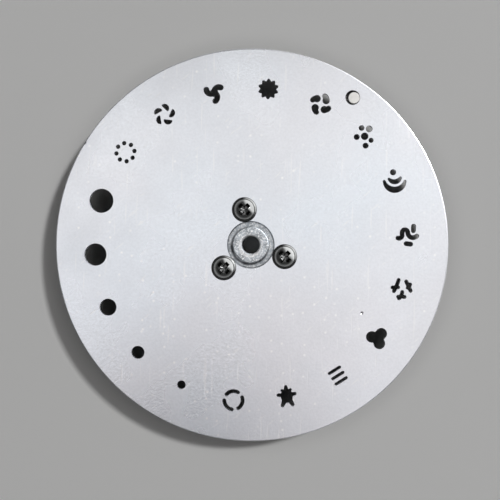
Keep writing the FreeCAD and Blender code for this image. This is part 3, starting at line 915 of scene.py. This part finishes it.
class GOBO_OT_stage(bpy.types.Operator):
    """Build the floor, the lights, the world and the camera"""

    bl_idname = "gobo.stage"
    bl_label = "Stage"

    def execute(self, context):
        scene, stage = context.scene, context.scene.gobo_wheel.stage
        self.add_floor(scene, stage)
        self.add_key(scene, stage)
        self.set_world(scene, stage)
        self.add_camera(scene, stage)
        scene.view_settings.view_transform = "Standard"
        return {"FINISHED"}

    def add_floor(self, scene, stage):
        """Pale floor that throws little light back and is clear from below."""
        half = FLOOR_HALF
        corners = [(-half, -half, 0), (half, -half, 0), (half, half, 0), (-half, half, 0)]
        mesh = bpy.data.meshes.new("floor")
        mesh.from_pydata(corners, [], [(0, 1, 2, 3)])
        floor = bpy.data.objects.new("floor", mesh)
        scene.collection.objects.link(floor)
        finish = Finish("Pale floor", 0.0, Roughness=0.9)
        tree = finish.tree
        path = tree.nodes.new("ShaderNodeLightPath").outputs
        fresh = maths(tree, "LESS_THAN", path["Diffuse Depth"], 0.5)
        mirrored = maths(tree, "MULTIPLY", path["Is Glossy Ray"], fresh)
        seen = maths(tree, "MAXIMUM", path["Is Camera Ray"], path["Is Transmission Ray"])
        seen = maths(tree, "MAXIMUM", seen, mirrored)
        cloud = noise(tree, finish.place, 8.0, 3.0)
        pale = mix_colour(tree, cloud, rgba(stage.floor_colour, 0.985), rgba(stage.floor_colour, 1.015))
        finish.link(mix_colour(tree, seen, FLOOR_BOUNCE, pale), "Base Color")
        clear = tree.nodes.new("ShaderNodeBsdfTransparent")
        back = tree.nodes.new("ShaderNodeNewGeometry").outputs["Backfacing"]
        sockets = {0: back, 1: finish.shader.outputs[0], 2: clear.outputs[0]}
        both = add_node(tree, "ShaderNodeMixShader", sockets)
        tree.links.new(both.outputs[0], tree.nodes["Material Output"].inputs["Surface"])
        mesh.materials.append(finish.material)

    def add_key(self, scene, stage):
        """Square key light that points at the wheel."""
        light = bpy.data.lights.new("key", "AREA")
        light.shape = "SQUARE"
        light.size = stage.key_size
        light.energy = stage.key_power
        key = bpy.data.objects.new("key", light)
        flat, rise = math.cos(stage.key_elevation), math.sin(stage.key_elevation)
        direction = Vector((math.cos(stage.key_azimuth) * flat, math.sin(stage.key_azimuth) * flat, rise))
        key.location = direction * stage.key_distance
        key.rotation_euler = (-direction).to_track_quat("-Z", "Y").to_euler()
        scene.collection.objects.link(key)

    def set_world(self, scene, stage):
        """White to the camera, a band of fill light for matt surfaces, and a studio's shapes for metal.

        The shapes are a ceiling with a dark side, a dimmer patch straight overhead, a window and pale walls.
        """
        world = bpy.data.worlds.new("studio")
        world.use_nodes = True
        tree = world.node_tree
        path = tree.nodes.new("ShaderNodeLightPath").outputs
        place = tree.nodes.new("ShaderNodeTexCoord").outputs["Generated"]
        height = add_node(tree, "ShaderNodeSeparateXYZ", {0: place}).outputs[2]

        dark = self.gap_to(tree, place, stage.dark_side)
        middle = self.gap_to(tree, place, stage.ceiling)
        overhead = self.gap_to(tree, place, UP)
        ceiling = product(
            tree,
            remap(tree, dark, *DARK_SIDE_FADE, stage.shine * DARK_SIDE_LEFT, stage.shine, True),
            remap(tree, middle, *CEILING_FADE, 1.0, 0.0, True),
            remap(tree, overhead, *OVERHEAD_FADE, OVERHEAD_LEFT, 1.0, True),
        )
        side = Vector(stage.window_side).normalized()
        side = vector_maths(tree, "DOT_PRODUCT", place, side, output="Value")
        window = product(
            tree,
            remap(tree, side, *WINDOW_SIDE_FADE, 0.0, stage.window, True),
            remap(tree, height, *WINDOW_LOW_FADE, 0.0, 1.0, True),
        )
        walls = product(
            tree,
            remap(tree, height, *WALL_HIGH_FADE, stage.horizon, WALL_LEFT, True),
            remap(tree, height, *WALL_LOW_FADE, 0.0, 1.0, True),
        )
        shine = maths(tree, "ADD", maths(tree, "ADD", ceiling, window), walls)
        fill = product(
            tree,
            remap(tree, height, *FILL_LOW_FADE, 0.0, stage.fill_light, True),
            remap(tree, height, *FILL_HIGH_FADE, 1.0, 0.0, True),
        )

        fresh = maths(tree, "LESS_THAN", path["Diffuse Depth"], 0.5)
        mirrored = maths(tree, "MULTIPLY", path["Is Glossy Ray"], fresh)
        seen = maths(tree, "MAXIMUM", path["Is Camera Ray"], path["Is Transmission Ray"])
        strength = mix_value(tree, seen, mix_value(tree, mirrored, fill, shine), BACKGROUND)
        tint = mix_colour(tree, remap(tree, dark, *TINT_FADE, 0.0, 1.0), DARK_SIDE_TINT, WHITE)
        background = tree.nodes["Background"].inputs
        tree.links.new(tint, background["Color"])
        tree.links.new(strength, background["Strength"])
        scene.world = world

    def gap_to(self, tree, place, direction):
        """Distance on the unit sphere between a world direction and a given one."""
        return vector_maths(tree, "DISTANCE", place, Vector(direction).normalized(), output="Value")

    def add_camera(self, scene, stage):
        """Camera that looks at its target with +Y up in the picture and the field's width at the target."""
        data = bpy.data.cameras.new("camera")
        camera = bpy.data.objects.new("camera", data)
        place, target = Vector(stage.camera_place), Vector(stage.camera_target)
        forward = (target - place).normalized()
        right = forward.cross(Vector((0, 1, 0))).normalized()
        camera.location = place
        camera.rotation_euler = Matrix((right, right.cross(forward), -forward)).transposed().to_euler()
        data.sensor_width = 36.0
        data.lens = data.sensor_width * (place - target).length / stage.field
        data.clip_start, data.clip_end = 0.01, 20.0
        scene.collection.objects.link(camera)
        scene.camera = camera


class GOBO_PT_panel(bpy.types.Panel):
    """Lists the operators that build the wheel's looks"""

    bl_idname = "GOBO_PT_panel"
    bl_label = "Gobo Wheel"
    bl_space_type = "VIEW_3D"
    bl_region_type = "UI"
    bl_category = "Gobo Wheel"

    def draw(self, context):
        for operator in OPERATORS:
            self.layout.operator(operator.bl_idname)


LOOKS = (
    GoboDiscLook,
    HubLook,
    DiscScrewShape,
    SetScrewShape,
    MagnetLook,
    AdhesiveLook,
    StageSettings,
    GoboWheelSettings,
)
OPERATORS = (
    GOBO_OT_disc,
    GOBO_OT_hub,
    GOBO_OT_disc_screws,
    GOBO_OT_set_screws,
    GOBO_OT_magnet,
    GOBO_OT_adhesive,
    GOBO_OT_stage,
)


def register():
    for cls in (*LOOKS, *OPERATORS, GOBO_PT_panel):
        bpy.utils.register_class(cls)
    bpy.types.Scene.gobo_wheel = bpy.props.PointerProperty(
        name="Gobo wheel", description="Sizes and colours of the wheel", type=GoboWheelSettings)


def unregister():
    del bpy.types.Scene.gobo_wheel
    for cls in reversed((*LOOKS, *OPERATORS, GOBO_PT_panel)):
        bpy.utils.unregister_class(cls)


def main():
    """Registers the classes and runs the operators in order."""
    register()
    for operator in OPERATORS:
        group, name = operator.bl_idname.split(".")
        getattr(getattr(bpy.ops, group), name)()


if __name__ == "__main__":
    main()
